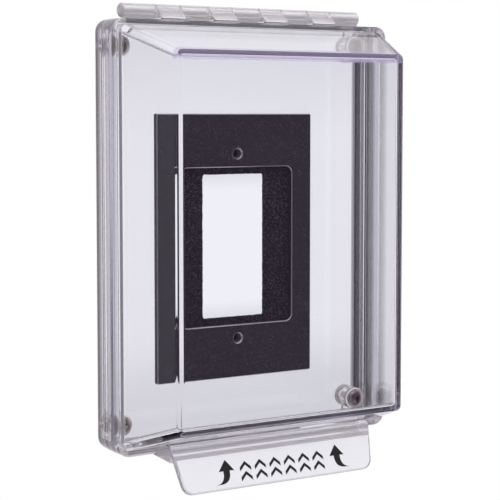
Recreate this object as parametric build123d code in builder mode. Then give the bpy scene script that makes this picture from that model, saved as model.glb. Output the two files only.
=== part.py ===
from build123d import *
import os
from math import atan2, cos, degrees, radians, sin, tan

# Flush-mount protective cover for a wall device: a clear tray that stays on the wall, a clear frame
# screwed to it, and a clear lift-up cover hinged along the top.
# Millimetres. X runs to the user's right, Z up, and the wall is the plane Y = 0.
# The user stands on the -Y side. The origin is midway between the two box-screw holes.
# A depth is a distance from the wall towards the user.

# Body outline, shared by the tray, the frame and the skirt of the cover
body_width = 134.6
body_height = 184.6
body_centre_height = 7.2
corner_radius = 5.5
wall = 3.0
skirt_draft = 2.5
edge_break = 0.4
overrun = 1.0  # how far a cut, or a piece that joins another, runs past the face that it meets

# Depths of the faces that part one moulding from the next
tray_depth = 10.2
frame_front_depth = 17.5
cover_rear_depth = 17.7
skirt_front_depth = 24.7
dome_front_depth = 56.8

# Tray
tray_floor = 2.0
rear_edge_radius = 4.5
device_opening_width = 66.0
device_opening_height = 108.0
device_opening_radius = 4.0

# Corner screws, and the bosses that take them
screw_spacing_x = 117.2
screw_spacing_z = 162.2
boss_radius = 5.0
boss_sides = 12
pilot_radius = 1.7
pilot_depth = 7.0
screw_radius = 1.65
screw_clearance_radius = 2.2
screw_head_radius = 4.2
screw_head_height = 2.2
screw_length = 8.0
gusset_thickness = 2.0
gusset_depth = 7.6

# Frame
lug_thickness = 1.5
spigot_depth = 1.5
spigot_thickness = 1.3
spigot_gap = 0.15

# Dome of the cover
dome_base_width = 128.7
dome_base_height = 178.0
dome_front_width = 108.5
dome_front_height = 155.6
dome_wall = 2.6
dome_corner_radius = 2.6
dome_front_fillet = 1.4
dome_inner_fillet = 2.4

# Hinge: knuckles of the cover between those of the frame, on one pin
hinge_depth = 11.1
hinge_height = 103.1
barrel_radius = 3.1
pin_radius = 1.5
pin_clearance = 0.06
pin_end_play = 0.3
pin_recess = 0.6
knuckle_pitch = 25.0
cover_knuckles = 4
cover_knuckle_width = 11.4
knuckle_gap = 0.3
knuckle_foot = 3.7
relief_depth = 0.7
end_post_outer = 59.8
end_post_round = 1.6
blind_end = 1.8

# Arms that join the moving knuckles to the skirt of the cover
arm_front_depth = 20.7
arm_shoulder_depth = 18.7
arm_root_drop = 1.5
arm_toe_drop = 0.5
arm_shoulder_rise = 0.6
arm_tangent_angle = 30.0

# Ledge and lift tab under the dome
ledge_half_width = 49.2
ledge_rear_depth = 19.5
ledge_root_depth = 35.2
ledge_front_depth = 38.2
ledge_bottom = -85.7
ledge_top_front = -79.6
tab_top_depth = 38.5
tab_bottom_depth = 46.0
tab_bottom = -97.9
tab_half_width_bottom = 46.0
tab_corner_radius = 5.0
tab_thickness = 2.4
label_top_drop = 5.2
label_margin = 0.7
label_thickness = 0.2

# Mounting plate and its foam gasket
plate_width = 76.8
plate_height = 119.1
plate_thickness = 3.0
plate_corner_radius = 0.8
window_width = 56.0
window_height = 71.0
window_radius = 3.0
box_screw_spacing = 83.34
box_screw_radius = 1.95
box_screw_sink_radius = 2.6
gasket_clearance = 0.3
gasket_opening_width = 30.8
gasket_opening_height = 64.4
gasket_opening_offset = -0.5
gasket_opening_radius = 0.8

# Worked out from the dimensions above
cover_rear_inset = (cover_rear_depth - tray_depth) * tan(radians(skirt_draft))
skirt_depth = skirt_front_depth - cover_rear_depth
dome_depth = dome_front_depth - skirt_front_depth
side_draft = atan2((dome_base_width - dome_front_width) / 2, dome_depth)
end_draft = atan2((dome_base_height - dome_front_height) / 2, dome_depth)
core_rear_width = dome_base_width + 2 * (skirt_depth * tan(side_draft) - dome_wall / cos(side_draft))
core_rear_height = dome_base_height + 2 * (skirt_depth * tan(end_draft) - dome_wall / cos(end_draft))
bore_radius = pin_radius + pin_clearance
frame_knuckle_width = knuckle_pitch - cover_knuckle_width - 2 * knuckle_gap
first_knuckle = -knuckle_pitch * (cover_knuckles - 1) / 2
end_post_inner = -first_knuckle + cover_knuckle_width / 2 + knuckle_gap
cover_knuckle_centres = [first_knuckle + knuckle_pitch * index for index in range(cover_knuckles)]
frame_knuckle_centres = [centre + knuckle_pitch / 2 for centre in cover_knuckle_centres[:-1]]
body_top = body_centre_height + body_height / 2
dome_bottom = body_centre_height - dome_base_height / 2
spigot_width = body_width - 2 * (wall + spigot_gap)
spigot_height = body_height - 2 * (wall + spigot_gap)
lug_front_depth = tray_depth + lug_thickness
ledge_root_height = dome_bottom + (ledge_root_depth - skirt_front_depth) * tan(end_draft)
tab_tilt = atan2(tab_bottom_depth - tab_top_depth, ledge_top_front - tab_bottom)
tab_length = (ledge_top_front - tab_bottom) / cos(tab_tilt)
screw_spots = {
    "top_left": (-screw_spacing_x / 2, screw_spacing_z / 2),
    "top_right": (screw_spacing_x / 2, screw_spacing_z / 2),
    "bottom_left": (-screw_spacing_x / 2, -screw_spacing_z / 2),
    "bottom_right": (screw_spacing_x / 2, -screw_spacing_z / 2),
}
box_screw_spots = [(0, box_screw_spacing / 2), (0, -box_screw_spacing / 2)]


def facing(depth, height=0.0):
    """Plane parallel to the wall and facing the user, at this depth."""
    return Plane(origin=(0, -depth, height), x_dir=(1, 0, 0), z_dir=(0, -1, 0))


def across(x):
    """Plane square to the hinge axis at this X: its own x runs along Y and its own y along Z."""
    return Plane(origin=(x, 0, 0), x_dir=(0, 1, 0), z_dir=(1, 0, 0))


def hinge_circle(radius):
    """Circle round the hinge axis, in a sketch on a plane across it."""
    with Locations((-hinge_depth, hinge_height)):
        Circle(radius)


def knuckle_foot_section():
    """Web that stands a fixed knuckle on the top edge of the frame."""
    foot_height = hinge_height - body_top + overrun
    with Locations((-tray_depth - knuckle_foot / 2, hinge_height - foot_height / 2)):
        Rectangle(knuckle_foot, foot_height)


def draft_sides(block, depth):
    """Leans the four sides of a block inwards towards the user, from its outline at this depth."""
    for axis, angle in ((Axis.X, side_draft), (Axis.Z, end_draft)):
        sides = block.faces().sort_by(axis)
        draft([sides[0], sides[-1]], neutral_plane=facing(depth), angle=degrees(angle))


def corner_gussets():
    """Short webs that tie each screw boss to the two walls beside it."""
    reach_x = (body_width - screw_spacing_x - wall) / 2
    reach_z = (body_height - screw_spacing_z - wall) / 2
    for x, z in screw_spots.values():
        side_x = 1 if x > 0 else -1
        side_z = 1 if z > 0 else -1
        with Locations((x + side_x * reach_x / 2, z)):
            Rectangle(reach_x, gusset_thickness)
        with Locations((x, z + side_z * reach_z / 2)):
            Rectangle(gusset_thickness, reach_z)


# Tray: a shallow moulding with a rounded rear edge, four screw bosses and the device opening
with BuildPart() as back_plate:
    with BuildSketch(facing(0, body_centre_height)):
        RectangleRounded(body_width, body_height, corner_radius)
    extrude(amount=tray_depth)
    fillet(back_plate.edges().group_by(Axis.Y)[-1], radius=rear_edge_radius)
    with BuildSketch(facing(tray_floor, body_centre_height)):
        RectangleRounded(body_width - 2 * wall, body_height - 2 * wall, corner_radius - wall)
    extrude(amount=tray_depth - tray_floor, mode=Mode.SUBTRACT)
    with BuildSketch(facing(tray_floor, body_centre_height)):
        corner_gussets()
    extrude(amount=gusset_depth - tray_floor)
    with BuildSketch(facing(tray_floor, body_centre_height)):
        with Locations(*screw_spots.values()):
            RegularPolygon(boss_radius, boss_sides)
    extrude(amount=tray_depth - tray_floor)
    with BuildSketch(facing(tray_depth, body_centre_height)):
        with Locations(*screw_spots.values()):
            Circle(pilot_radius)
    extrude(amount=-pilot_depth, mode=Mode.SUBTRACT)
    with BuildSketch(facing(0)):
        RectangleRounded(device_opening_width, device_opening_height, device_opening_radius)
    extrude(amount=tray_floor, mode=Mode.SUBTRACT)

# Frame: a drafted ring with a locating spigot, four screw lugs and the fixed half of the hinge
with BuildPart() as base_frame:
    with BuildSketch(facing(tray_depth, body_centre_height)):
        RectangleRounded(body_width, body_height, corner_radius)
    extrude(amount=frame_front_depth - tray_depth, taper=skirt_draft)
    with BuildSketch(facing(tray_depth - spigot_depth, body_centre_height)):
        RectangleRounded(spigot_width, spigot_height, corner_radius - wall)
    extrude(amount=spigot_depth)
    with BuildSketch(facing(lug_front_depth, body_centre_height)):
        RectangleRounded(body_width - 2 * wall, body_height - 2 * wall, corner_radius - wall)
    extrude(amount=frame_front_depth - lug_front_depth, mode=Mode.SUBTRACT)
    # The inside is open but for a lug round each screw
    with BuildSketch(facing(tray_depth - spigot_depth, body_centre_height)):
        opening_width = spigot_width - 2 * spigot_thickness
        opening_height = spigot_height - 2 * spigot_thickness
        RectangleRounded(opening_width, opening_height, corner_radius - wall)
        with Locations(*screw_spots.values()):
            Circle(boss_radius, mode=Mode.SUBTRACT)
    extrude(amount=spigot_depth + lug_thickness, mode=Mode.SUBTRACT)
    with BuildSketch(facing(tray_depth - spigot_depth, body_centre_height)):
        with Locations(*screw_spots.values()):
            Circle(boss_radius + spigot_gap)
    extrude(amount=spigot_depth, mode=Mode.SUBTRACT)
    with BuildSketch(facing(tray_depth, body_centre_height)):
        corner_gussets()
    extrude(amount=lug_thickness)
    with BuildSketch(facing(tray_depth, body_centre_height)):
        with Locations(*screw_spots.values()):
            Circle(screw_clearance_radius)
    extrude(amount=lug_thickness, mode=Mode.SUBTRACT)
    # Reliefs in the top edge, under each knuckle of the cover
    for centre in cover_knuckle_centres:
        with BuildSketch(across(centre - cover_knuckle_width / 2 - knuckle_gap)):
            with Locations((-(tray_depth + frame_front_depth) / 2, body_top)):
                Rectangle(frame_front_depth - tray_depth + 2 * overrun, 2 * relief_depth)
        extrude(amount=cover_knuckle_width + 2 * knuckle_gap, mode=Mode.SUBTRACT)
    # Fixed knuckles between those of the cover
    for centre in frame_knuckle_centres:
        with BuildSketch(across(centre - frame_knuckle_width / 2)):
            hinge_circle(barrel_radius)
            knuckle_foot_section()
        extrude(amount=frame_knuckle_width)
    # End posts with rounded ends: the left one is blind, and the pin goes in through the right one
    for side in (-1, 1):
        with BuildSketch(across(side * end_post_inner)):
            hinge_circle(barrel_radius)
        extrude(amount=side * (end_post_outer - end_post_inner))
        rims = base_frame.edges(Select.LAST).filter_by(GeomType.CIRCLE)
        fillet(rims.sort_by(Axis.X, reverse=side < 0)[-1], radius=end_post_round)
        with BuildSketch(across(side * end_post_inner)):
            knuckle_foot_section()
        extrude(amount=side * (end_post_outer - end_post_round - end_post_inner))
    with BuildSketch(across(-end_post_outer + blind_end)):
        hinge_circle(bore_radius)
    extrude(amount=2 * end_post_outer, mode=Mode.SUBTRACT)

# Core of the cover: the hollow, whose sides run straight from the rear rim to the front
with BuildPart() as cover_core:
    with BuildSketch(facing(cover_rear_depth, body_centre_height)):
        Rectangle(core_rear_width, core_rear_height)
    extrude(amount=dome_front_depth - dome_wall - cover_rear_depth)
    draft_sides(cover_core, cover_rear_depth)
    core_rear_edges = cover_core.faces().sort_by(Axis.Y)[-1].edges()
    fillet(cover_core.edges() - core_rear_edges, radius=dome_inner_fillet)

# Cover: skirt, shoulder and drafted dome in one moulding, with hinge arms, ledge and lift tab
with BuildPart() as cover:
    with BuildSketch(facing(skirt_front_depth, body_centre_height)):
        Rectangle(dome_base_width, dome_base_height)
    extrude(amount=dome_depth)
    draft_sides(cover, skirt_front_depth)
    dome_ridges = cover.edges().filter_by(Axis.X, reverse=True).filter_by(Axis.Z, reverse=True)
    fillet(dome_ridges, radius=dome_corner_radius)
    fillet(cover.faces().sort_by(Axis.Y)[0].edges(), radius=dome_front_fillet)
    with BuildSketch(facing(cover_rear_depth, body_centre_height)):
        skirt_width = body_width - 2 * cover_rear_inset
        skirt_height = body_height - 2 * cover_rear_inset
        RectangleRounded(skirt_width, skirt_height, corner_radius - cover_rear_inset)
    extrude(amount=skirt_front_depth - cover_rear_depth, taper=skirt_draft)
    # Moving knuckles, each on an arm that rises from the rear of the skirt
    for centre in cover_knuckle_centres:
        tangent_depth = hinge_depth + barrel_radius * cos(radians(arm_tangent_angle))
        tangent_height = hinge_height + barrel_radius * sin(radians(arm_tangent_angle))
        with BuildSketch(across(centre - cover_knuckle_width / 2)):
            hinge_circle(barrel_radius)
            with BuildLine():
                Polyline(
                    (-hinge_depth, hinge_height - barrel_radius),
                    (-cover_rear_depth, hinge_height - barrel_radius),
                    (-cover_rear_depth, body_top - arm_root_drop),
                    (-arm_front_depth, body_top - arm_root_drop),
                    (-arm_front_depth, body_top - arm_toe_drop),
                    (-arm_shoulder_depth, hinge_height - barrel_radius + arm_shoulder_rise),
                    (-tangent_depth, tangent_height),
                    (-hinge_depth, hinge_height),
                    close=True,
                )
            make_face()
        extrude(amount=cover_knuckle_width)
    # Ledge that carries the lift tab
    with BuildSketch(across(-ledge_half_width)):
        with BuildLine():
            Polyline(
                (-ledge_rear_depth, dome_bottom - overrun),
                (-ledge_rear_depth, ledge_bottom),
                (-ledge_front_depth, ledge_bottom),
                (-ledge_front_depth, ledge_top_front),
                (-ledge_root_depth, ledge_root_height + overrun),
                (-skirt_front_depth, dome_bottom + overrun),
                close=True,
            )
        make_face()
    extrude(amount=2 * ledge_half_width)
    tab_plane = Plane(
        origin=(0, -tab_top_depth, ledge_top_front),
        x_dir=(1, 0, 0),
        z_dir=(0, -cos(tab_tilt), sin(tab_tilt)),
    )
    with BuildSketch(tab_plane) as tab_sketch:
        with BuildLine():
            Polyline(
                (-ledge_half_width, 0),
                (-tab_half_width_bottom, -tab_length),
                (tab_half_width_bottom, -tab_length),
                (ledge_half_width, 0),
                close=True,
            )
        make_face()
        fillet(tab_sketch.vertices().group_by(Axis.Y)[0], radius=tab_corner_radius)
    extrude(amount=-tab_thickness)
    add(cover_core.part, mode=Mode.SUBTRACT)
    for centre in cover_knuckle_centres:
        with BuildSketch(across(centre - cover_knuckle_width / 2)):
            hinge_circle(bore_radius)
        extrude(amount=cover_knuckle_width, mode=Mode.SUBTRACT)

# Hinge pin, stopped by the blind end
with BuildPart() as hinge_pin:
    with BuildSketch(across(-end_post_outer + blind_end + pin_end_play)):
        hinge_circle(pin_radius)
    extrude(amount=2 * end_post_outer - blind_end - pin_end_play - pin_recess)

# Black mounting plate that clamps the tray to the wall box
with BuildPart() as mounting_plate:
    with BuildSketch(facing(tray_floor)):
        RectangleRounded(plate_width, plate_height, plate_corner_radius)
        RectangleRounded(window_width, window_height, window_radius, mode=Mode.SUBTRACT)
    extrude(amount=plate_thickness)
    chamfer(mounting_plate.edges().group_by(Axis.Y)[0], length=edge_break)
    with Locations(facing(tray_floor + plate_thickness)):
        with Locations(*box_screw_spots):
            CounterSinkHole(radius=box_screw_radius, counter_sink_radius=box_screw_sink_radius)

# Foam gasket between the plate and the wall, inside the opening of the tray
with BuildPart() as foam_gasket:
    with BuildSketch(facing(0)):
        gasket_width = device_opening_width - 2 * gasket_clearance
        gasket_height = device_opening_height - 2 * gasket_clearance
        RectangleRounded(gasket_width, gasket_height, device_opening_radius - gasket_clearance)
        with Locations((gasket_opening_offset, 0)):
            RectangleRounded(
                gasket_opening_width, gasket_opening_height, gasket_opening_radius, mode=Mode.SUBTRACT
            )
        with Locations(*box_screw_spots):
            Circle(box_screw_radius, mode=Mode.SUBTRACT)
    extrude(amount=tray_floor)

# Printed label on the front of the lift tab
with BuildPart() as tab_label:
    with BuildSketch(tab_plane) as label_sketch:
        side_lean = (ledge_half_width - tab_half_width_bottom) / tab_length
        label_top_half = ledge_half_width - label_margin - side_lean * label_top_drop
        label_bottom_half = tab_half_width_bottom - label_margin
        with BuildLine():
            Polyline(
                (-label_top_half, -label_top_drop),
                (-label_bottom_half, -tab_length + label_margin),
                (label_bottom_half, -tab_length + label_margin),
                (label_top_half, -label_top_drop),
                close=True,
            )
        make_face()
        fillet(label_sketch.vertices().group_by(Axis.Y)[0], radius=tab_corner_radius - label_margin)
    extrude(amount=label_thickness)

# Pan-head screws that hold the frame to the tray
screws = {}
for corner, (screw_x, screw_z) in screw_spots.items():
    screw_height = body_centre_height + screw_z
    screw_plane = Plane(origin=(screw_x, -lug_front_depth, screw_height), x_dir=(1, 0, 0), z_dir=(0, 0, 1))
    with BuildPart() as screw:
        with BuildSketch(screw_plane):
            with BuildLine():
                Polyline(
                    (0, -screw_head_height),
                    (0, screw_length),
                    (screw_radius, screw_length),
                    (screw_radius, 0),
                    (screw_head_radius, 0),
                    (screw_head_radius, -screw_head_height),
                    close=True,
                )
            make_face()
        revolve(axis=Axis((screw_x, 0, screw_height), (0, 1, 0)))
    screws["corner_screw_" + corner] = screw.part

pieces = {
    "back_plate": back_plate.part,
    "base_frame": base_frame.part,
    "cover": cover.part,
    "hinge_pin": hinge_pin.part,
    "mounting_plate": mounting_plate.part,
    "foam_gasket": foam_gasket.part,
    "tab_label": tab_label.part,
    **screws,
}
os.makedirs("parts", exist_ok=True)
for name, piece in pieces.items():
    piece.label = name
    export_step(piece, "parts/" + name + ".step")
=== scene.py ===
"""Clear hinged wall cover: the finish of every moulding, the small hardware, the stage and the camera."""

import math

import bmesh
import bpy
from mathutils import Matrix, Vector


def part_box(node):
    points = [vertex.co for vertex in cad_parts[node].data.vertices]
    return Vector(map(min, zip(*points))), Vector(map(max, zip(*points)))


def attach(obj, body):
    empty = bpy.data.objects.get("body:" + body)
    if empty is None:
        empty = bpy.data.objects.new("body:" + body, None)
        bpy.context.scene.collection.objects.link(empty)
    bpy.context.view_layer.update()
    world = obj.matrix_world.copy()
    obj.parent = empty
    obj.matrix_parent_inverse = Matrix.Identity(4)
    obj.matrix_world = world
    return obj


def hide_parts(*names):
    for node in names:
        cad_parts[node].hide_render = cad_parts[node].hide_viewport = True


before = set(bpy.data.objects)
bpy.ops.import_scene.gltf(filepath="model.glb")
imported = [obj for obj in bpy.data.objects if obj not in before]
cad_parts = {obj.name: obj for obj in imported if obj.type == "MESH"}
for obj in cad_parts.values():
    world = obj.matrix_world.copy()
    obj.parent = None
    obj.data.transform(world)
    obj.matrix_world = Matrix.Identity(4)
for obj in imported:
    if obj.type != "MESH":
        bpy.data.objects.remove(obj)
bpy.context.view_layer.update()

bl_info = {
    "name": "Clear Hinged Wall Cover",
    "version": (1, 0, 0),
    "blender": (4, 5, 0),
    "location": "3D View > Sidebar > Wall Cover",
    "description": "Finishes a clear hinged cover, its hardware and its studio stage",
    "category": "Object",
}

MM = 0.001

# Mesh work
SMOOTH_SEGMENTS = 48
JOIN_DISTANCE = 0.002 * MM
FLAT_ANGLE = math.radians(0.2)
SHARP_ANGLE = math.radians(33)

# The object's own outline. X is across, Y runs into the wall and Z is up
TRAY_LOW, TRAY_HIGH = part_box("back_plate")
COVER_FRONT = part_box("cover")[0].y
SCREW_LOW, SCREW_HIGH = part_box("corner_screw_top_right")
HALF_WIDTH = TRAY_HIGH.x
HEIGHT_CENTRE = (TRAY_LOW.z + TRAY_HIGH.z) / 2
HALF_HEIGHT = TRAY_HIGH.z - HEIGHT_CENTRE
BOSS_ACROSS = (SCREW_LOW.x + SCREW_HIGH.x) / 2
BOSS_AWAY = (SCREW_LOW.z + SCREW_HIGH.z) / 2 - HEIGHT_CENTRE

# Bands of the clear plastic: widths in from the tray's sides, distances from its middle height, and
# places in depth
SIDE_BAND = 16.0 * MM
FLANK_BAND = 4.0 * MM
SHOULDER_BAND = 5.0 * MM
LIP_DEPTHS = (-24.2 * MM, -18.2 * MM)
SHOULDER_DEPTHS = (-25.8 * MM, -24.2 * MM)
FOOT_START = -7.0 * MM
FOOT_FADE = 1.0 * MM
RIM_AWAY = 75.4 * MM
RIM_BACK = COVER_FRONT + 2.2 * MM
BROW_HEIGHT = HEIGHT_CENTRE + 74.0 * MM
BROW_BACK = COVER_FRONT + 2.8 * MM
END_AWAY = 84.0 * MM
END_FADE = 3.0 * MM
BARREL_BOTTOM = TRAY_HIGH.z + 0.3 * MM
LEDGE_TOP = TRAY_LOW.z + 6.0 * MM
LEDGE_BACK = -25.0 * MM
BOSS_RADIUS = 5.3 * MM
BOSS_FRONT = -18.0 * MM

# Faces of the plate whose normal leans this far to the front are its broken edges, which get a pale metal as
# a painted highlight
EDGE_LEAN = (0.25, 0.93)

# Marks on the label, in millimetres
ARROW_OUTLINE = (
    (0, 0), (3.7, -4.8), (1.55, -4.7), (1.8, -7.4), (3.2, -9.4),
    (5.9, -10.3), (0.2, -9.3), (-1.2, -7.2), (-1.5, -4.7), (-3.7, -4.8),
)
ARROW_CURVED = (3, 4, 6, 7)
ARROW_MIDDLE = 1.8
ARROW_REACH = 27.4
CHEVRON_OUTLINE = ((0, 0), (2.7, -2.6), (2.7, -4.2), (0, -1.6), (-2.7, -4.2), (-2.7, -2.6))
CHEVRON_COLUMNS = 6
CHEVRON_ROWS = 2
CHEVRON_PITCH = 7.2
CHEVRON_DROP = 4.2
CHEVRON_MIDDLE = 1.5
CHEVRON_LOWER = 1.6

# Softboxes that only reflections see: direction, where its edge starts, over what it rises, and its level
SOFTBOXES = (
    ((0.65, 0.75, 0.0), -0.04, 0.4, 1.0),
    ((0.0, 0.0, 1.0), 0.3, 1 / 2.4, 1.0),
    ((0.0, 0.0, -1.0), 0.45, 0.5, 0.7),
    ((-0.5, -0.6, -0.62), 0.9, 1 / 14, 1.0),
    ((-0.48, -0.87, 0.1), 0.965, 1 / 40, 1.0),
)


# ---------------------------------------------------------------- shader maths


class Signal:
    """A socket that can be used in ordinary arithmetic."""

    def __init__(self, tree, socket):
        self.tree = tree
        self.socket = socket

    def _maths(self, operation, *values):
        node = self.tree.nodes.new("ShaderNodeMath")
        node.operation = operation
        for slot, value in zip(node.inputs, values):
            join(self.tree, value, slot)
        return Signal(self.tree, node.outputs[0])

    def __add__(self, other):
        return self._maths("ADD", self, other)

    def __sub__(self, other):
        return self._maths("SUBTRACT", self, other)

    def __mul__(self, other):
        return self._maths("MULTIPLY", self, other)

    def __truediv__(self, other):
        return self._maths("DIVIDE", self, other)

    def __pow__(self, other):
        return self._maths("POWER", self, other)

    def __radd__(self, other):
        return self._maths("ADD", other, self)

    def __rsub__(self, other):
        return self._maths("SUBTRACT", other, self)

    def __rmul__(self, other):
        return self._maths("MULTIPLY", other, self)

    def __rtruediv__(self, other):
        return self._maths("DIVIDE", other, self)

    def __neg__(self):
        return self._maths("MULTIPLY", self, -1.0)

    def __abs__(self):
        return self._maths("ABSOLUTE", self)

    def __gt__(self, other):
        return self._maths("GREATER_THAN", self, other)

    def __lt__(self, other):
        return self._maths("LESS_THAN", self, other)

    def larger(self, other):
        return self._maths("MAXIMUM", self, other)

    def clamp(self):
        return self._maths("MINIMUM", self.larger(0.0), 1.0)

    def rise(self, start, width):
        """Goes from 0 at the start to 1 a width further on."""
        return ((self - start) / width).clamp()

    def between(self, low, high):
        return (self > low) * (self < high)


def join(tree, value, slot):
    """Links a signal to a socket, or writes a plain value on it."""
    if isinstance(value, Signal):
        tree.links.new(value.socket, slot)
    elif slot.type == "RGBA" and len(value) == 3:
        slot.default_value = (*value, 1.0)
    else:
        slot.default_value = value


def within(first, second, radius):
    """1 inside a circle, from the distances to its centre along two axes."""
    return (first * first + second * second) < radius**2


def toned(colour, factor):
    return tuple(factor * part for part in colour)


class Finish:
    """One node tree under construction, for a material or for the world."""

    def __init__(self, owner):
        owner.use_nodes = True
        self.tree = owner.node_tree
        self.tree.nodes.clear()

    def add(self, kind, settings=None, sockets=None):
        """Adds a node, with its settings first and then the values or links of its sockets."""
        node = self.tree.nodes.new(kind)
        for name, value in (settings or {}).items():
            setattr(node, name, value)
        for name, value in (sockets or {}).items():
            join(self.tree, value, node.inputs[name])
        return node

    def node(self, kind, settings=None, sockets=None, output=0):
        """Adds a node and gives one of its outputs."""
        return Signal(self.tree, self.add(kind, settings, sockets).outputs[output])

    def place(self):
        return self.node("ShaderNodeTexCoord", output="Object")

    def ray(self, kind):
        return self.node("ShaderNodeLightPath", output=kind)

    def axes(self, vector=None):
        """The three parts of a vector, or of the place on the object."""
        parts = self.add("ShaderNodeSeparateXYZ", sockets={"Vector": vector or self.place()})
        return [Signal(self.tree, part) for part in parts.outputs]

    def stretched(self, scale):
        return self.node("ShaderNodeMapping", sockets={"Vector": self.place(), "Scale": scale})

    def noise(self, scale, detail=2.0, roughness=0.5, vector=None):
        place = vector or self.place()
        values = {"Vector": place, "Scale": scale, "Detail": detail, "Roughness": roughness}
        return self.node("ShaderNodeTexNoise", sockets=values)

    def cells(self, scale):
        values = {"Vector": self.place(), "Scale": scale}
        return self.node("ShaderNodeTexVoronoi", sockets=values, output="Distance")

    def bump(self, height, strength, distance):
        values = {"Height": height, "Strength": strength, "Distance": distance}
        return self.node("ShaderNodeBump", sockets=values)

    def colour_mix(self, factor, first, second):
        """Mixes two colours, through the sockets that a Mix node has for them."""
        values = {0: factor, 6: first, 7: second}
        return self.node("ShaderNodeMix", {"data_type": "RGBA"}, values, output=2)

    def shader_mix(self, factor, first, second):
        return self.node("ShaderNodeMixShader", sockets={0: factor, 1: first, 2: second})

    def principled(self, values):
        return self.node("ShaderNodeBsdfPrincipled", sockets=values)

    def diffuse(self, colour):
        return self.node("ShaderNodeBsdfDiffuse", sockets={"Color": colour})

    def glow(self, colour):
        return self.node("ShaderNodeEmission", sockets={"Color": colour})

    def surface(self, shader, volume=None, kind="ShaderNodeOutputMaterial"):
        inside = {"Volume": volume} if volume else {}
        self.add(kind, sockets={"Surface": shader, **inside})


def new_finish(name):
    material = bpy.data.materials.new(name)
    return material, Finish(material)


def plastic_tint(finish, settings, across, depth, away):
    """Tint of each face: nearly none, with painted grey and lavender shade where a thick edge loses its
    light: the side walls, the cover's lip, the tray's foot and the front edges at top and bottom.
    """
    flank = across > HALF_WIDTH - FLANK_BAND
    zones = (
        (across > HALF_WIDTH - SIDE_BAND, settings.side_painted_shade),
        (flank * depth.between(*LIP_DEPTHS), settings.lip_painted_shade),
        (flank * depth.rise(FOOT_START, FOOT_FADE), settings.foot_painted_shade),
        ((away > RIM_AWAY) * (depth < RIM_BACK), settings.rim_painted_shade),
    )
    tint = settings.surface_colour
    for zone, colour in zones:
        tint = finish.colour_mix(zone, tint, colour)
    return tint


def plastic_haze(settings, across, depth, height, away, brow):
    """Share of the light that each face scatters."""
    boss = within(across - BOSS_ACROSS, away - BOSS_AWAY, BOSS_RADIUS) * (depth > BOSS_FRONT)
    shoulder = (across > HALF_WIDTH - SHOULDER_BAND) * depth.between(*SHOULDER_DEPTHS)
    zones = (
        (away.rise(END_AWAY, END_FADE), settings.end_haze),
        (height > BARREL_BOTTOM, settings.barrel_haze),
        ((height < LEDGE_TOP) * (depth < LEDGE_BACK), settings.ledge_haze),
        (boss, settings.boss_haze),
        (shoulder, settings.shoulder_haze),
        (brow, settings.brow_haze),
    )
    haze = settings.haze
    for zone, share in zones:
        haze = haze + zone * share
    return haze


def clear_plastic(name, settings, drift):
    """Clear moulded polycarbonate with faint flow lines, a few rubs, a slight lavender depth, and painted
    shade in its thick edges and front top edge.
    """
    material, finish = new_finish(name)
    flow = finish.noise(11.0, detail=1.0, vector=finish.stretched((1.0 + drift, 1.0, 0.35)))
    rubs = finish.noise(900.0, vector=finish.stretched((1.0, 1.0, 0.06)))
    patches = finish.noise(38.0 + 9.0 * drift)
    rubbed = patches.rise(0.6, 1 / 4) * rubs.rise(0.62, 1 / 6)
    sideways, depth, height = finish.axes()
    across = abs(sideways)
    away = abs(height - HEIGHT_CENTRE)
    brow = (depth < BROW_BACK) * (height > BROW_HEIGHT)
    clear = finish.principled(
        {
            "Base Color": plastic_tint(finish, settings, across, depth, away),
            "Roughness": settings.roughness + rubbed * settings.rub,
            "IOR": settings.index,
            "Transmission Weight": 1.0,
            "Normal": finish.bump(flow, strength=settings.flow, distance=0.4 * MM),
        }
    )
    # The front top edge scatters a darker lavender: painted shade for that edge
    pale, lavender = finish.diffuse(settings.haze_colour), finish.diffuse(settings.brow_painted_shade)
    haze_and_painted_shade = finish.shader_mix(brow, pale, lavender)
    haze = plastic_haze(settings, across, depth, height, away, brow)
    lamp_path = finish.node("ShaderNodeBsdfTransparent", sockets={"Color": settings.lamp_tint})
    shader = finish.shader_mix(finish.ray("Is Shadow Ray"), finish.shader_mix(haze, clear, haze_and_painted_shade), lamp_path)
    values = {"Color": settings.depth_colour, "Density": settings.depth_density}
    finish.surface(shader, finish.node("ShaderNodeVolumeAbsorption", sockets=values))
    return material


def bright_metal(name, colour, roughness, drift, streaks=(1.0, 1.0, 1.0)):
    """Plated or drawn metal: fine lines and darker, duller handling marks."""
    material, finish = new_finish(name)
    lines = finish.noise(2600.0, vector=finish.stretched(streaks))
    dull = finish.noise(420.0 + drift, detail=3.0, roughness=0.6).rise(0.52, 1 / 5)
    finish.surface(
        finish.principled(
            {
                "Base Color": finish.colour_mix(dull * 0.45, colour, toned(colour, 0.55)),
                "Metallic": 1.0,
                "Roughness": roughness + lines * 0.08 + dull * 0.12,
                "Normal": finish.bump(lines, strength=0.12, distance=0.02 * MM),
            }
        )
    )
    return material


def black_sheet(settings):
    """Fine-textured black sheet: a pressed grain with pale flecks where it catches the light."""
    material, finish = new_finish("fine_black_sheet")
    grain = finish.noise(3200.0, roughness=0.7)
    flecks = finish.noise(2100.0, detail=1.0, roughness=0.4).rise(0.62, 1 / 9)
    cloud = finish.noise(60.0, detail=3.0, roughness=0.6)
    base = finish.colour_mix(cloud, settings.colour, toned(settings.colour, 1.5))
    finish.surface(
        finish.principled(
            {
                "Base Color": finish.colour_mix(flecks * settings.flecks, base, settings.fleck_colour),
                "Roughness": 0.5 + grain * 0.3,
                "Specular IOR Level": 0.35,
                "Normal": finish.bump(grain, strength=0.35, distance=0.06 * MM),
            }
        )
    )
    return material


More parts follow.
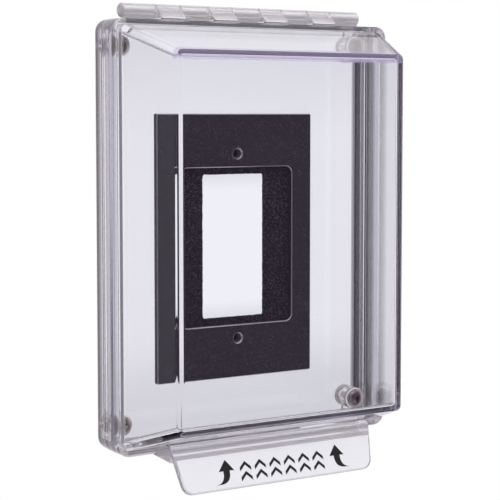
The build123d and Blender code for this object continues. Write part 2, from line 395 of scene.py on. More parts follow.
def black_foam(settings):
    """Open-cell foam: dark pits between paler purple-grey struts."""
    material, finish = new_finish("open_cell_foam")
    pits = finish.cells(settings.cell_density)
    fine = finish.cells(settings.cell_density * 2.3)
    strut = pits.rise(0.55, 1 / 5) * 0.7 + fine.rise(0.6, 1 / 5) * 0.3
    shade = finish.noise(140.0, detail=3.0, roughness=0.6)
    finish.surface(
        finish.principled(
            {
                "Base Color": finish.colour_mix(
                    strut * (0.35 + shade * 0.9), settings.colour, settings.strut_colour
                ),
                "Roughness": 0.95 - strut * 0.3,
                "Specular IOR Level": 0.2,
                "Sheen Weight": 0.1,
                "Normal": finish.bump(strut, strength=0.7, distance=0.25 * MM),
            }
        )
    )
    return material


def white_vinyl(settings):
    """White film: a satin face with a faint tooth and an uneven tone."""
    material, finish = new_finish("white_vinyl")
    tone = finish.noise(45.0, detail=3.0)
    tooth = finish.noise(1400.0)
    finish.surface(
        finish.principled(
            {
                "Base Color": finish.colour_mix(tone, settings.colour, toned(settings.colour, 0.95)),
                "Roughness": 0.38 + tooth * 0.1,
                "Normal": finish.bump(tooth, strength=0.08, distance=0.02 * MM),
            }
        )
    )
    return material


def black_ink(settings):
    """Screen-printed ink: nearly black, a little uneven."""
    material, finish = new_finish("black_ink")
    cover = finish.noise(1800.0, roughness=0.6)
    base = finish.colour_mix(cover, settings.ink, toned(settings.ink, 1.8))
    finish.surface(finish.principled({"Base Color": base, "Roughness": 0.4 + cover * 0.15}))
    return material


# ---------------------------------------------------------------- mesh helpers


def work_on(piece):
    """Makes this piece the only selected and active one, in object mode."""
    if bpy.context.mode != "OBJECT":
        bpy.ops.object.mode_set(mode="OBJECT")
    bpy.ops.object.select_all(action="DESELECT")
    piece.select_set(True)
    bpy.context.view_layer.objects.active = piece


def edit(piece):
    work_on(piece)
    bpy.ops.object.mode_set(mode="EDIT")


def edit_all(piece):
    """Opens the piece in edit mode with everything selected."""
    edit(piece)
    bpy.ops.mesh.select_all(action="SELECT")


def done():
    bpy.ops.object.mode_set(mode="OBJECT")


def pick(piece, test, kind="faces"):
    """In edit mode, selects only the faces, edges or corners that pass the test."""
    shape = bmesh.from_edit_mesh(piece.data)
    bpy.ops.mesh.select_all(action="DESELECT")
    for item in getattr(shape, kind):
        if test(item):
            item.select_set(True)
    shape.select_flush_mode()
    bmesh.update_edit_mesh(piece.data)


def modify(piece, kind, **settings):
    """Adds one modifier with its settings and applies it."""
    work_on(piece)
    bpy.ops.object.modifier_add(type=kind)
    modifier = piece.modifiers[-1]
    for name, value in settings.items():
        setattr(modifier, name, value)
    bpy.ops.object.modifier_apply(modifier=modifier.name)


def dress(piece, material):
    """Gives the piece one material."""
    piece.data.materials.clear()
    piece.data.materials.append(material)


def merged_copy(node, name):
    """A copy of a CAD part with its triangles joined and its flats made whole."""
    piece = bpy.data.objects.new(name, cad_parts[node].data.copy())
    bpy.context.scene.collection.objects.link(piece)
    piece.data.name = name
    edit_all(piece)
    bpy.ops.mesh.remove_doubles(threshold=JOIN_DISTANCE)
    bpy.ops.mesh.dissolve_limited(angle_limit=FLAT_ANGLE)
    done()
    bpy.ops.mesh.customdata_custom_splitnormals_clear()
    return piece


def soften(piece, width):
    """Rounds the sharp edges a little and shades flats flat and rounds round."""
    modify(
        piece,
        "BEVEL",
        width=width,
        segments=2,
        limit_method="ANGLE",
        angle_limit=SHARP_ANGLE,
        use_clamp_overlap=False,
        miter_outer="MITER_SHARP",
    )
    work_on(piece)
    bpy.ops.object.shade_smooth()
    modify(piece, "WEIGHTED_NORMAL", weight=70, keep_sharp=False)


# ---------------------------------------------------------------- settings


def length_value(name, description, default, **limits):
    return bpy.props.FloatProperty(
        name=name, description=description, default=default, unit="LENGTH", **limits
    )


def share_value(name, description, default):
    return bpy.props.FloatProperty(
        name=name, description=description, default=default, min=0.0, subtype="FACTOR"
    )


def colour_value(name, description, *default):
    return bpy.props.FloatVectorProperty(
        name=name, description=description, default=default, subtype="COLOR"
    )


def number_value(name, description, default, **limits):
    return bpy.props.FloatProperty(name=name, description=description, default=default, **limits)


class ClearPlasticSettings(bpy.types.PropertyGroup):
    """Sizes and tints of the three clear mouldings."""

    edge_round: length_value("Edge Rounding", "Radius on the moulded edges", 0.18 * MM, min=0.0)
    joint_gap: length_value("Joint Gap", "Air between tray and frame", 0.04 * MM, min=0.0)
    index: number_value("Refractive Index", "How strongly the plastic bends light", 1.585, min=1.0)
    roughness: share_value("Roughness", "Haze of an untouched face", 0.0)
    rub: share_value("Rubs", "Extra haze where the face is rubbed", 0.05)
    haze: share_value("Haze", "Share of each face that scatters light", 0.001)
    end_haze: share_value("End Haze", "Extra haze in the top and bottom walls", 0.03)
    barrel_haze: share_value("Barrel Haze", "Extra haze in the hinge barrel", 0.2)
    ledge_haze: share_value("Ledge Haze", "Extra haze in the ledge and tab", 0.17)
    boss_haze: share_value("Boss Haze", "Extra haze in the screw bosses", 0.14)
    shoulder_haze: share_value("Shoulder Haze", "Extra haze in the cover's shoulder", 0.2)
    brow_haze: share_value("Brow Haze", "Extra haze in the front top edge", 0.3)
    haze_colour: colour_value("Haze Colour", "Colour of the scattered light", 0.93, 0.9, 0.93)
    # Painted shade: the brow's darker lavender stands in for the shade of the front top edge
    brow_painted_shade: colour_value("Brow Colour", "Colour of the light in the front top edge", 0.5, 0.44, 0.66)
    flow: number_value("Flow Lines", "Strength of the moulding's flow lines", 0.05, min=0.0)
    surface_colour: colour_value("Surface Colour", "Tint of each face", 1.0, 0.997, 1.0)
    # Painted shade: the side, lip, foot and rim tints darken these thick edges where they lose their light
    side_painted_shade: colour_value("Side Colour", "Tint of the faces at the sides", 1.0, 0.984, 0.995)
    lip_painted_shade: colour_value("Lip Colour", "Tint of the cover's lip at the sides", 0.36, 0.37, 0.43)
    foot_painted_shade: colour_value("Foot Colour", "Tint of the tray's foot at the sides", 0.32, 0.3, 0.33)
    rim_painted_shade: colour_value("Rim Colour", "Tint of the front edges at top and bottom", 0.78, 0.72, 0.86)
    depth_colour: colour_value("Depth Colour", "Colour that builds up with depth", 0.84, 0.815, 0.87)
    depth_density: number_value("Depth Density", "How soon that colour builds up, per metre", 25.0, min=0.0)
    lamp_tint: colour_value("Lamp Tint", "Share of lamp light that each face lets by", 0.99, 0.988, 0.992)


class PlateSettings(bpy.types.PropertyGroup):
    """Finish of the black mounting plate."""

    edge_round: length_value("Edge Rounding", "Radius on the cut edges", 0.15 * MM, min=0.0)
    colour: colour_value("Colour", "Colour of the sheet", 0.012, 0.009, 0.014)
    # Painted highlight: the pale metal on the broken edges stands in for their highlight
    edge_painted_highlight: colour_value("Edge Colour", "Colour of the broken edges", 0.66, 0.62, 0.68)
    fleck_colour: colour_value("Fleck Colour", "Colour of the pale flecks", 0.12, 0.1, 0.13)
    flecks: share_value("Flecks", "How strongly the flecks show", 0.6)


class FoamSettings(bpy.types.PropertyGroup):
    """Finish of the foam gasket."""

    voxel: length_value("Mesh Size", "Size of the mesh that carries the pits", 0.36 * MM, min=0.1 * MM)
    pit_size: length_value("Pit Size", "Width of the open cells in the mesh", 1.6 * MM, min=0.1 * MM)
    pit_depth: length_value("Pit Depth", "Depth of the open cells", 0.3 * MM, min=0.0)
    squash: number_value("Squash", "Share of its thickness that the clamped sheet keeps", 0.95, min=0.5)
    cell_density: number_value("Cell Density", "Cells along one metre", 1300.0, min=1.0)
    colour: colour_value("Colour", "Colour in the pits", 0.003, 0.0015, 0.003)
    strut_colour: colour_value("Strut Colour", "Colour of the struts", 0.06, 0.045, 0.07)


class HardwareSettings(bpy.types.PropertyGroup):
    """Sizes and colours of the screws and the hinge pin."""

    head_radius: length_value("Head Radius", "Radius of a corner screw's head", 4.2 * MM)
    head_height: length_value("Head Height", "Height of a corner screw's head", 2.2 * MM)
    shank_radius: length_value("Thread Radius", "Outer radius of the thread", 1.65 * MM)
    root_radius: length_value("Root Radius", "Radius between the threads", 1.2 * MM)
    pitch: length_value("Thread Pitch", "Advance of the thread in one turn", 1.0 * MM)
    recess_width: length_value("Recess Width", "Tip to tip width of the cross recess", 4.4 * MM)
    recess_depth: length_value("Recess Depth", "Depth of the cross recess", 1.6 * MM)
    screw_colour: colour_value("Screw Colour", "Colour of the plating", 0.44, 0.395, 0.365)
    pin_colour: colour_value("Pin Colour", "Colour of the drawn wire", 0.72, 0.71, 0.72)


class LabelSettings(bpy.types.PropertyGroup):
    """Colours and mark sizes of the tab's label."""

    colour: colour_value("Film Colour", "Colour of the film", 0.78, 0.775, 0.81)
    ink: colour_value("Ink Colour", "Colour of the printed marks", 0.008, 0.008, 0.009)
    ink_height: length_value("Ink Height", "How far the print stands proud", 0.03 * MM)
    mark_top: number_value("Mark Top", "Millimetres from the label's middle up to the arrow tips", 4.8)


class StageSettings(bpy.types.PropertyGroup):
    """Floor, wall, lamps and camera."""

    floor_height: length_value("Floor Height", "Height of the floor", -0.22)
    floor_colour: colour_value("Floor Colour", "Colour of the floor", 0.93, 0.93, 0.94)
    wall_gap: length_value("Wall Gap", "Air between the tray and the wall", 0.5 * MM)
    wall_tint: colour_value("Wall Tint", "Colour of the wall through the plastic", 0.96, 0.975, 1.03)
    # Painted shade: the wall is painted black in the wall box's screw holes
    box_screw_height: length_value("Box Screw Height", "Height of the wall box's screw holes", 41.67 * MM)
    box_screw_radius: length_value("Box Screw Radius", "Radius of the wall box's screw holes", 3.5 * MM)
    key_power: number_value("Key Power", "Power of the large front lamp", 24.0, unit="POWER")
    fill_power: number_value("Fill Power", "Power of the side lamp and the back lamp", 9.0, unit="POWER")
    top_power: number_value("Top Power", "Power of the overhead lamp", 10.0, unit="POWER")
    ambient: number_value("Ambient", "Even light from all round", 0.25, min=0.0)
    camera_place: bpy.props.FloatVectorProperty(
        name="Camera Place",
        description="Where the camera stands",
        default=(-0.28746, -0.53812, 0.05934),
        subtype="XYZ",
    )
    camera_yaw: number_value("Camera Yaw", "Turn to the right", math.radians(28.899), unit="ROTATION")
    camera_pitch: number_value("Camera Pitch", "Tilt upwards", math.radians(-3.646), unit="ROTATION")
    camera_rise: number_value("Camera Rise", "Vertical shift of the picture, in picture widths", -0.1)
    lens: number_value("Lens", "Focal length in millimetres for the sensor's width", 97.123)
    sensor: number_value("Sensor Width", "Width of the camera's sensor in millimetres", 36.0)


# ---------------------------------------------------------------- pieces


class WALLCOVER_OT_clear_mouldings(bpy.types.Operator):
    """Make the tray, the frame and the hinged cover in clear plastic"""

    bl_idname = "wallcover.clear_mouldings"
    bl_label = "Clear Mouldings"

    def execute(self, context):
        settings = context.scene.wall_cover_plastic
        rows = (
            ("back_plate", "tray_moulding", "base", "clear_tray", 0.0),
            ("base_frame", "frame_moulding", "base", "clear_frame", 0.4),
            ("cover", "cover_moulding", "cover", "clear_cover", 0.9),
        )
        for node, name, body, slot, drift in rows:
            piece = merged_copy(node, name)
            if node == "back_plate":
                edit(piece)
                pick(piece, lambda corner: corner.co.y < TRAY_LOW.y + JOIN_DISTANCE, "verts")
                bpy.ops.transform.translate(value=(0, settings.joint_gap, 0))
                done()
            soften(piece, settings.edge_round)
            dress(piece, clear_plastic(slot + "_plastic", settings, drift))
            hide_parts(node)
            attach(piece, body)
        return {"FINISHED"}


class WALLCOVER_OT_mounting_plate(bpy.types.Operator):
    """Make the black mounting plate"""

    bl_idname = "wallcover.mounting_plate"
    bl_label = "Mounting Plate"

    def execute(self, context):
        settings = context.scene.wall_cover_plate
        piece = merged_copy("mounting_plate", "black_mounting_plate")
        soften(piece, settings.edge_round)
        dress(piece, black_sheet(settings))
        # Painted highlight: the broken edges round the window and holes get a pale metal that stands in for
        # their light
        bare_edge = bright_metal("bare_edge", settings.edge_painted_highlight, roughness=0.28, drift=80.0)
        piece.data.materials.append(bare_edge)
        edit(piece)
        low_lean, high_lean = EDGE_LEAN
        pick(piece, lambda face: low_lean < -face.normal.y < high_lean)
        piece.active_material_index = 1
        bpy.ops.object.material_slot_assign()
        done()
        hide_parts("mounting_plate")
        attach(piece, "base")
        return {"FINISHED"}


class WALLCOVER_OT_foam_gasket(bpy.types.Operator):
    """Make the pitted foam gasket behind the plate"""

    bl_idname = "wallcover.foam_gasket"
    bl_label = "Foam Gasket"

    def execute(self, context):
        settings = context.scene.wall_cover_foam
        piece = merged_copy("foam_gasket", "open_cell_gasket")
        modify(piece, "REMESH", mode="VOXEL", voxel_size=settings.voxel)
        pits = bpy.data.textures.new("gasket_pits", "VORONOI")
        pits.noise_scale = settings.pit_size
        modify(
            piece,
            "DISPLACE",
            texture=pits,
            texture_coords="LOCAL",
            strength=settings.pit_depth,
            mid_level=1.0,
        )
        low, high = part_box("foam_gasket")
        edit_all(piece)
        bpy.ops.transform.resize(value=(1, settings.squash, 1), center_override=(low + high) / 2)
        done()
        work_on(piece)
        bpy.ops.object.shade_smooth()
        dress(piece, black_foam(settings))
        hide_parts("foam_gasket")
        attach(piece, "base")
        return {"FINISHED"}


class WALLCOVER_OT_corner_screws(bpy.types.Operator):
    """Make the four pan-head corner screws with cross recess and thread"""

    bl_idname = "wallcover.corner_screws"
    bl_label = "Corner Screws"

    # The head: its rim's height as a share of its own, and the crown's steps inwards and up, as shares of
    # its radius and height
    rim = 0.2
    crown = ((0.0, 0.32), (0.04, 0.53), (0.13, 0.72), (0.28, 0.87), (0.5, 0.96), (0.75, 1.0))
    # A slot of the recess: its width as a share of its length, and how its floor narrows
    slot_width = 0.2
    slot_floor = (0.35, 0.55, 1)
    # The thread, in pitches: its half width, where it starts and how much it stops short by
    ridge_half = 0.32
    thread_start = 0.5
    thread_short = 0.9
    # Steps in one turn of the thread, and how deep its foot sits in the core
    turn_steps = 20
    sunk = 0.1 * MM
    # Width of the disc in the middle of the shank's flat end, as a share of the core's
    end_disc = 0.55
    # Where each screw stopped turning, in radians
    turns = {"top_left": 0.35, "top_right": 1.1, "bottom_left": 0.8, "bottom_right": 0.2}

    def head(self, settings):
        """A pan head on the XY plane, crown up."""
        height = settings.head_height
        rim_height = self.rim * height
        bpy.ops.object.select_all(action="DESELECT")
        bpy.ops.mesh.primitive_cylinder_add(
            vertices=SMOOTH_SEGMENTS,
            radius=settings.head_radius,
            depth=rim_height,
            location=(0, 0, rim_height / 2),
        )
        piece = bpy.context.object
        bpy.ops.object.transform_apply()
        edit(piece)
        pick(piece, lambda face: face.normal.z > 0.5)
        level, width = self.rim, 1.0
        for inset, step in self.crown:
            bpy.ops.mesh.extrude_region_move(
                TRANSFORM_OT_translate={"value": (0, 0, (step - level) * height)}
            )
            narrower = (1 - inset) / width
            bpy.ops.transform.resize(value=(narrower, narrower, 1))
            level, width = step, 1 - inset
        done()
        for turn in (0, math.pi / 2):
            self.cut(piece, settings, turn)
        return piece

    def cut(self, piece, settings, turn):
        """Cuts one slot of the cross recess, narrower towards its floor."""
        size = (settings.recess_width, self.slot_width * settings.recess_width, 2 * settings.recess_depth)
        bpy.ops.object.select_all(action="DESELECT")
        bpy.ops.mesh.primitive_cube_add(size=1.0)
        blade = bpy.context.object
        edit_all(blade)
        bpy.ops.transform.resize(value=size)
        pick(blade, lambda face: face.normal.z < -0.5)
        bpy.ops.transform.resize(value=self.slot_floor)
        bpy.ops.mesh.select_all(action="SELECT")
        bpy.ops.transform.rotate(value=turn, orient_axis="Z", center_override=(0, 0, 0))
        bpy.ops.transform.translate(value=(0, 0, settings.head_height))
        done()
        modify(piece, "BOOLEAN", operation="DIFFERENCE", object=blade, solver="EXACT")
        bpy.data.objects.remove(blade)

    def shank(self, settings, length):
        """The core of the shank, below the XY plane, with a flat end."""
        bpy.ops.object.select_all(action="DESELECT")
        bpy.ops.mesh.primitive_cylinder_add(
            vertices=SMOOTH_SEGMENTS // 2,
            radius=settings.root_radius,
            depth=length,
            location=(0, 0, self.sunk - length / 2),
        )
        core = bpy.context.object
        bpy.ops.object.transform_apply()
        edit(core)
        pick(core, lambda face: face.normal.z < -0.5)
        bpy.ops.mesh.extrude_region_move(TRANSFORM_OT_translate={"value": (0, 0, 0)})
        bpy.ops.transform.resize(value=(self.end_disc, self.end_disc, 1))
        done()
        return core

    def thread(self, settings, length):
        """A wound ridge round the shank, as a closed ribbon."""
        pitch = settings.pitch
        bpy.ops.object.select_all(action="DESELECT")
        bpy.ops.mesh.primitive_circle_add(vertices=3, radius=pitch, fill_type="NGON")
        ridge = bpy.context.object
        edit(ridge)
        shape = bmesh.from_edit_mesh(ridge.data)
        shape.verts.ensure_lookup_table()
        foot = settings.root_radius - self.sunk
        outline = ((settings.shank_radius, 0.0), (foot, self.ridge_half), (foot, -self.ridge_half))
        for corner, (across, along) in zip(shape.verts, outline):
            corner.co = (across, 0, along * pitch)
        bmesh.update_edit_mesh(ridge.data)
        bpy.ops.mesh.delete(type="ONLY_FACE")
        done()
        modify(
            ridge,
            "SCREW",
            axis="Z",
            angle=2 * math.pi,
            screw_offset=-pitch,
            iterations=int(length / pitch - self.thread_short),
            steps=self.turn_steps,
            render_steps=self.turn_steps,
        )
        edit(ridge)
        bpy.ops.mesh.select_all(action="DESELECT")
        bpy.ops.mesh.select_non_manifold()
        bpy.ops.mesh.fill()
        bpy.ops.mesh.select_all(action="SELECT")
        bpy.ops.transform.translate(value=(0, 0, -self.thread_start * pitch))
        bpy.ops.mesh.normals_make_consistent(inside=False)
        done()
        return ridge

    def execute(self, context):
        settings = context.scene.wall_cover_hardware
        under_head = SCREW_LOW.y + settings.head_height
        length = SCREW_HIGH.y - under_head
        head = self.head(settings)
        parts = (head, self.shank(settings, length), self.thread(settings, length))
        bpy.ops.object.select_all(action="DESELECT")
        for part in parts:
            part.select_set(True)
        bpy.context.view_layer.objects.active = head
        bpy.ops.object.join()
        bpy.ops.object.shade_smooth_by_angle(angle=SHARP_ANGLE)
        metal = bright_metal("nickel_plate", settings.screw_colour, roughness=0.12, drift=0.0)
        for corner, turn in self.turns.items():
            node = "corner_screw_" + corner
            low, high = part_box(node)
            piece = head.copy()
            piece.data = head.data.copy()
            piece.name = "pan_screw_" + corner
            context.scene.collection.objects.link(piece)
            edit_all(piece)
            bpy.ops.transform.rotate(value=turn, orient_axis="Z", center_override=(0, 0, 0))
            bpy.ops.transform.rotate(value=-math.pi / 2, orient_axis="X", center_override=(0, 0, 0))
            centre = (low + high) / 2
            bpy.ops.transform.translate(value=(centre.x, under_head, centre.z))
            done()
            facing = min(point.co.y for point in piece.data.vertices)
            if abs(facing - low.y) > 0.01 * MM:
                raise RuntimeError(f"{piece.name} faces the wrong way: {facing} and {low.y}")
            dress(piece, metal)
            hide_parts(node)
            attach(piece, "base")
        bpy.data.objects.remove(head)
        return {"FINISHED"}


class WALLCOVER_OT_hinge_pin(bpy.types.Operator):
    """Give the hinge pin its drawn-steel finish"""

    bl_idname = "wallcover.hinge_pin"
    bl_label = "Hinge Pin"

    def execute(self, context):
        settings = context.scene.wall_cover_hardware
        streaks = (0.05, 1.0, 1.0)
        drawn = bright_metal("drawn_steel", settings.pin_colour, roughness=0.12, drift=40.0, streaks=streaks)
        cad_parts["hinge_pin"].material_slots[0].material = drawn
        return {"FINISHED"}


class WALLCOVER_OT_tab_label(bpy.types.Operator):
    """Finish the tab's label and print its plain lift marks"""

    bl_idname = "wallcover.tab_label"
    bl_label = "Tab Label"

    def mark(self, name, outline, rounded=()):
        """A flat printed shape from its outline, in millimetres, with some of its corners rounded."""
        bpy.ops.object.select_all(action="DESELECT")
        bpy.ops.curve.primitive_bezier_circle_add(radius=MM)
        piece = bpy.context.object
        piece.name = piece.data.name = name
        piece.data.dimensions = "2D"
        piece.data.fill_mode = "BOTH"
        piece.data.resolution_u = 8
        spline = piece.data.splines[0]
        spline.bezier_points.add(len(outline) - len(spline.bezier_points))
        for index, (point, (across, up)) in enumerate(zip(spline.bezier_points, outline)):
            kind = "AUTO" if index in rounded else "VECTOR"
            point.handle_left_type = point.handle_right_type = kind
            point.co = (across * MM, up * MM, 0)
        bpy.ops.object.convert(target="MESH")
        return piece

    def print_on(self, piece, settings, label, across, up):
        """Turns a flat shape to the label's face, gives it its thickness and moves it to its place."""
        face = max(label.data.polygons, key=lambda polygon: -polygon.normal.y * polygon.area)
        normal = face.normal.normalized()
        tilt = math.atan2(-normal.y, normal.z)
        low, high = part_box("tab_label")
        corner = label.data.vertices[face.vertices[0]].co
        middle = (low + high) / 2
        middle += normal * (corner - middle).dot(normal)
        upward = Vector((0, math.cos(tilt), math.sin(tilt)))
        modify(piece, "SOLIDIFY", thickness=settings.ink_height, offset=1.0)
        piece.rotation_euler = (tilt, 0, 0)
        piece.location = middle + Vector((across * MM, 0, 0)) + upward * up * MM
        work_on(piece)
        bpy.ops.object.transform_apply(location=True, rotation=True, scale=True)
        edit_all(piece)
        bpy.ops.mesh.remove_doubles(threshold=JOIN_DISTANCE)
        bpy.ops.mesh.normals_make_consistent(inside=False)
        done()
        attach(piece, "cover")

    def execute(self, context):
        settings = context.scene.wall_cover_label
        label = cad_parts["tab_label"]
        label.material_slots[0].material = white_vinyl(settings)
        ink = black_ink(settings)
        for side, name in ((-1, "lift_arrow_left"), (1, "lift_arrow_right")):
            outline = [(side * across, up) for across, up in ARROW_OUTLINE]
            piece = self.mark(name, outline, ARROW_CURVED)
            self.print_on(piece, settings, label, ARROW_MIDDLE + side * ARROW_REACH, settings.mark_top)
            dress(piece, ink)
        chevrons = self.mark("lift_chevrons", CHEVRON_OUTLINE)
        columns = (CHEVRON_COLUMNS, (CHEVRON_PITCH * MM, 0, 0))
        rows = (CHEVRON_ROWS, (0, -CHEVRON_DROP * MM, 0))
        for count, step in (columns, rows):
            modify(
                chevrons,
                "ARRAY",
                count=count,
                use_relative_offset=False,
                use_constant_offset=True,
                constant_offset_displace=step,
            )
        first = CHEVRON_MIDDLE - CHEVRON_PITCH * (CHEVRON_COLUMNS - 1) / 2
        self.print_on(chevrons, settings, label, first, settings.mark_top - CHEVRON_LOWER)
        dress(chevrons, ink)
        return {"FINISHED"}


class WALLCOVER_OT_stage(bpy.types.Operator):
    """Set up the floor, the wall, the lamps and the camera"""

    bl_idname = "wallcover.stage"
    bl_label = "Stage"

    # Width of the floor and the wall, and how far up the wall's middle stands
    breadth = 2.2
    wall_middle = 0.8
    # The floor turns white between these distances from the object
    floor_fade = (0.35, 0.6)
    # The wall's painted shadow rings round the tray: where each starts to change, over what width, and by
    # how much
    outline = (-1.0 * MM, 2.0 * MM)
    near_ring = (7.0 * MM, 3.0 * MM)
    middle_ring = (17.0 * MM, 3.0 * MM)
    far_ring = (30.0 * MM, 70.0 * MM)
    ring_tone = 0.75
    near_loss = 0.19
    middle_loss = 0.5
    far_gain = 0.25
    # Soft shades on the wall: towards the tray's ends and its foot, along its left edge, further left of
    # it, and at the ends of the gasket's opening
    end_shade = ((-50.0 * MM, 50.0 * MM), 0.15)
    foot_shade = ((50.0 * MM, 20.0 * MM), 0.08)
    left_edge = ((HALF_WIDTH - 6.5 * MM, 1.5 * MM), 0.45)
    left_far = ((HALF_WIDTH + 25.0 * MM, 15.0 * MM), 0.55)
    opening_reach = 18.0 * MM
    opening_start = (25.0 * MM, 8.0 * MM)
    opening_end = (35.0 * MM, 1.0 * MM)
    opening_loss = 0.16
    # Place, width and height of each lamp, and the setting that holds its power
    lamps = {
        "key_lamp": ((-0.9, -1.5, 1.1), (1.4, 1.4), "key_power"),
        "fill_lamp": ((1.4, -1.2, 0.3), (1.0, 1.4), "fill_power"),
        "top_lamp": ((0.0, -0.4, 1.6), (1.6, 1.0), "top_power"),
        "back_lamp": ((0.6, 1.6, 0.8), (1.4, 1.4), "fill_power"),
    }
    # Level and colours of what reflections see, between the softboxes and in them
    dark_level = 0.07
    light_level = 0.85
    dark_tint = (0.02, 0.0, 0.06)
    light_tint = (0.98, 0.93, 0.98)
    # Nothing nearer to the camera than this is seen
    nearest = 0.01

    def plane(self, name, place, turn):
        bpy.ops.object.select_all(action="DESELECT")
        bpy.ops.mesh.primitive_plane_add(size=self.breadth, location=place, rotation=turn)
        plane = bpy.context.object
        plane.name = name
        bpy.ops.object.transform_apply()
        return plane

    def floor(self, settings):
        """A pale floor that takes shadows and turns white further off."""
        floor = self.plane("floor", (0, 0, settings.floor_height), (0, 0, 0))
        material, finish = new_finish("pale_floor")
        across, along, _ = finish.axes()
        fade = ((across * across + along * along) ** 0.5).rise(*self.floor_fade)
        whiteness = finish.ray("Is Camera Ray") * (0.5 + fade * 0.5)
        pale, white = finish.diffuse(settings.floor_colour), finish.glow((1.0, 1.0, 1.0))
        finish.surface(finish.shader_mix(whiteness, pale, white))
        dress(floor, material)
        floor.visible_glossy = False
        floor.visible_transmission = False

    def wall(self, settings):
        """A white wall whose painted shadows show through the plastic, with nothing to see from behind."""
        wall = self.plane("wall", (0, settings.wall_gap, self.wall_middle), (math.pi / 2, 0, 0))
        material, finish = new_finish("white_wall")
        tint = finish.colour_mix(self.wall_shade(finish, settings), (0.0, 0.0, 0.0), settings.wall_tint)
        seen = finish.colour_mix(finish.ray("Is Camera Ray"), tint, (1.0, 1.0, 1.0))
        behind = finish.node("ShaderNodeNewGeometry", output="Backfacing")
        clear = finish.node("ShaderNodeBsdfTransparent")
        finish.surface(finish.shader_mix(behind, finish.glow(seen), clear))
        dress(wall, material)
        wall.visible_diffuse = False
        wall.visible_glossy = False
        wall.visible_shadow = False

    def wall_shade(self, finish, settings):
        """Painted shade on the wall: full brightness behind the tray, painted shadow rings round it, and
        painted black shade in the box's screw holes.
        """
        sideways, _, height = finish.axes()
        across = abs(sideways)
        up = abs(height)
        above = abs(height - HEIGHT_CENTRE) - HALF_HEIGHT
        outside = (across - HALF_WIDTH).larger(above)
        beyond = outside.rise(*self.outline)
        inside = 1.0 - beyond
        near = (1.0 - outside.rise(*self.near_ring)) * self.near_loss
        middle = (1.0 - outside.rise(*self.middle_ring)) * self.middle_loss
        far = outside.rise(*self.far_ring) * self.far_gain
        round_tray = self.ring_tone - middle - near + far
        (end_ramp, end_loss), (foot_ramp, foot_loss) = self.end_shade, self.foot_shade
        ends = above.rise(*end_ramp) * end_loss + (HEIGHT_CENTRE - height).rise(*foot_ramp) * foot_loss
        shade = 1.0 - beyond * (1.0 - round_tray) - inside * ends
        opening = (across < self.opening_reach) * up.rise(*self.opening_start)
        opening = opening * (1.0 - up.rise(*self.opening_end))
        (edge_ramp, edge_loss), (far_ramp, far_loss) = self.left_edge, self.left_far
        losses = (
            (within(across, up - settings.box_screw_height, settings.box_screw_radius), 1.0),
            ((-sideways).rise(*edge_ramp) * inside, edge_loss),
            ((-sideways).rise(*far_ramp), far_loss),
            (opening, self.opening_loss),
        )
        for zone, loss in losses:
            shade = shade * (1.0 - zone * loss)
        return shade

    def lamp(self, name, place, size, power):
        """A soft rectangular lamp that points at the object."""
        data = bpy.data.lights.new(name, "AREA")
        data.shape = "RECTANGLE"
        data.size, data.size_y = size
        data.energy = power
        lamp = bpy.data.objects.new(name, data)
        bpy.context.scene.collection.objects.link(lamp)
        lamp.location = place
        lamp.rotation_euler = (-Vector(place)).to_track_quat("-Z", "Y").to_euler()
        lamp.visible_camera = False
        lamp.visible_transmission = False
        lamp.visible_glossy = False

    def studio(self, scene, settings):
        """White to the eye, softboxes to reflections, and a low even light to the rest."""
        scene.world = bpy.data.worlds.new("studio")
        finish = Finish(scene.world)
        axes = finish.axes(finish.node("ShaderNodeTexCoord", output="Generated"))
        brightest = 0.0
        for direction, start, width, level in SOFTBOXES:
            facing = sum(axis * part for axis, part in zip(axes, direction))
            brightest = (facing.rise(start, width) * level).larger(brightest)
        shine = finish.colour_mix(
            self.dark_level + self.light_level * brightest, self.dark_tint, self.light_tint
        )
        mirrored = finish.ray("Glossy Depth") > 0.5
        through = finish.ray("Is Transmission Ray")
        reflected = (finish.ray("Is Glossy Ray") + through).clamp() * mirrored
        straight = (finish.ray("Is Camera Ray") + through * (1.0 - mirrored)).clamp()
        light = finish.colour_mix(reflected, (1.0, 1.0, 1.0), shine)
        level = straight + (1.0 - straight) * (reflected + (1.0 - reflected) * settings.ambient)
        sky = finish.node("ShaderNodeBackground", sockets={"Color": light, "Strength": level})
        finish.surface(sky, kind="ShaderNodeOutputWorld")

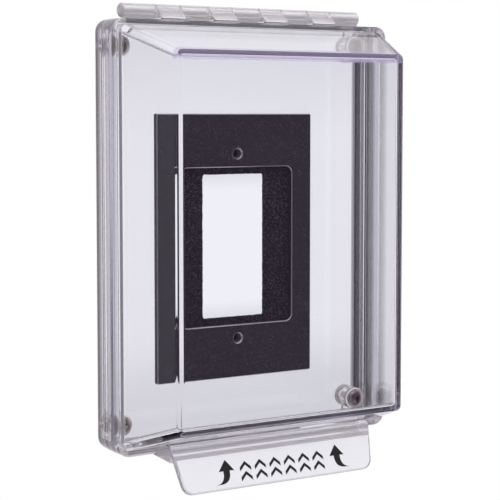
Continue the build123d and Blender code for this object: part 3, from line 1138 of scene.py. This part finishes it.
    def camera(self, scene, settings):
        data = bpy.data.cameras.new("camera")
        camera = bpy.data.objects.new("camera", data)
        scene.collection.objects.link(camera)
        yaw, pitch = settings.camera_yaw, settings.camera_pitch
        view = Vector((math.sin(yaw) * math.cos(pitch), math.cos(yaw) * math.cos(pitch), math.sin(pitch)))
        camera.location = settings.camera_place
        camera.rotation_euler = view.to_track_quat("-Z", "Y").to_euler()
        data.lens = settings.lens
        data.sensor_width = settings.sensor
        data.shift_y = settings.camera_rise
        data.clip_start = self.nearest
        scene.camera = camera

    def execute(self, context):
        settings = context.scene.wall_cover_stage
        self.floor(settings)
        self.wall(settings)
        for name, (place, size, power) in self.lamps.items():
            self.lamp(name, place, size, getattr(settings, power))
        self.studio(context.scene, settings)
        self.camera(context.scene, settings)
        context.scene.view_settings.view_transform = "Standard"
        return {"FINISHED"}


class WALLCOVER_PT_panel(bpy.types.Panel):
    """Lists the pieces of the wall cover"""

    bl_label = "Wall Cover"
    bl_idname = "WALLCOVER_PT_panel"
    bl_space_type = "VIEW_3D"
    bl_region_type = "UI"
    bl_category = "Wall Cover"

    def draw(self, context):
        for operator in PIECES:
            self.layout.operator(operator.bl_idname)


SETTINGS = {
    "wall_cover_plastic": ClearPlasticSettings,
    "wall_cover_plate": PlateSettings,
    "wall_cover_foam": FoamSettings,
    "wall_cover_hardware": HardwareSettings,
    "wall_cover_label": LabelSettings,
    "wall_cover_stage": StageSettings,
}
PIECES = (
    WALLCOVER_OT_stage,
    WALLCOVER_OT_clear_mouldings,
    WALLCOVER_OT_mounting_plate,
    WALLCOVER_OT_foam_gasket,
    WALLCOVER_OT_corner_screws,
    WALLCOVER_OT_hinge_pin,
    WALLCOVER_OT_tab_label,
)


def register():
    for name, group in SETTINGS.items():
        bpy.utils.register_class(group)
        setattr(bpy.types.Scene, name, bpy.props.PointerProperty(type=group))
    for item in (*PIECES, WALLCOVER_PT_panel):
        bpy.utils.register_class(item)


def unregister():
    for item in (WALLCOVER_PT_panel, *reversed(PIECES)):
        bpy.utils.unregister_class(item)
    for name, group in SETTINGS.items():
        delattr(bpy.types.Scene, name)
        bpy.utils.unregister_class(group)


def main():
    register()
    bpy.ops.wallcover.stage()
    bpy.ops.wallcover.clear_mouldings()
    bpy.ops.wallcover.mounting_plate()
    bpy.ops.wallcover.foam_gasket()
    bpy.ops.wallcover.corner_screws()
    bpy.ops.wallcover.hinge_pin()
    bpy.ops.wallcover.tab_label()


if __name__ == "__main__":
    main()
